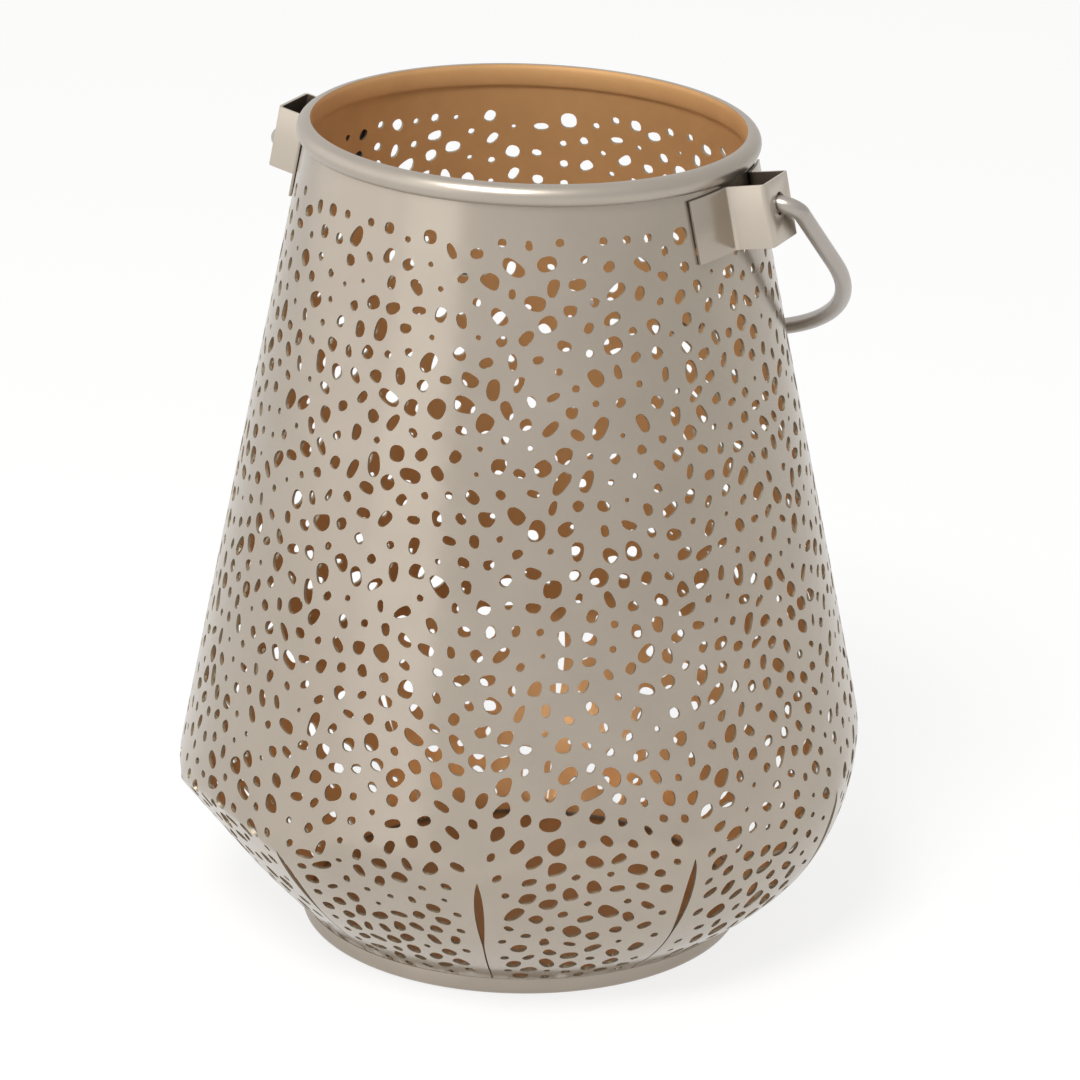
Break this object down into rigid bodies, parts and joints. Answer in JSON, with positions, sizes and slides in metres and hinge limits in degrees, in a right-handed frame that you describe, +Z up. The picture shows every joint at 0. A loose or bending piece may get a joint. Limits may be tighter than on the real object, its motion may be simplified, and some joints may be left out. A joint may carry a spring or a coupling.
{
  "type": "candle holder",
  "caption": "Punched sheet-metal candle lantern: a cone folded in to a gored bowl on a base pan, with a beaded rim and a swinging wire bail.",
  "frame": {"origin": "middle of the underside of the base pan, on the surface that the holder stands on", "axes": "+Z up along the body's axis, +X along the bail's hinge line towards the right bracket, +Y towards the side where the bail hangs at rest"},
  "size_m": [0.166, 0.1642, 0.1996],
  "materials": {
    "satin_nickel_sheet": "satin champagne nickel outside, gold-bronze lacquer inside",
    "satin_nickel_bead": "satin champagne nickel",
    "satin_nickel_pan": "satin champagne nickel",
    "satin_nickel_strap": "satin champagne nickel",
    "satin_nickel_wire": "satin champagne nickel"
  },
  "bodies": {
    "holder": {"body_shell": "satin_nickel_sheet", "rim_bead": "satin_nickel_bead", "base_pan": "satin_nickel_pan", "bracket_right": "satin_nickel_strap", "bracket_left": "satin_nickel_strap"},
    "bail": {"bail_handle": "satin_nickel_wire"}
  },
  "joints": [
    {"name": "bail_swing", "type": "hinge", "parent": "holder", "child": "bail", "pos_m": [0, 0, 0.1883], "axis": [1, 0, 0], "range_deg": [0, 258.9]}
  ]
}
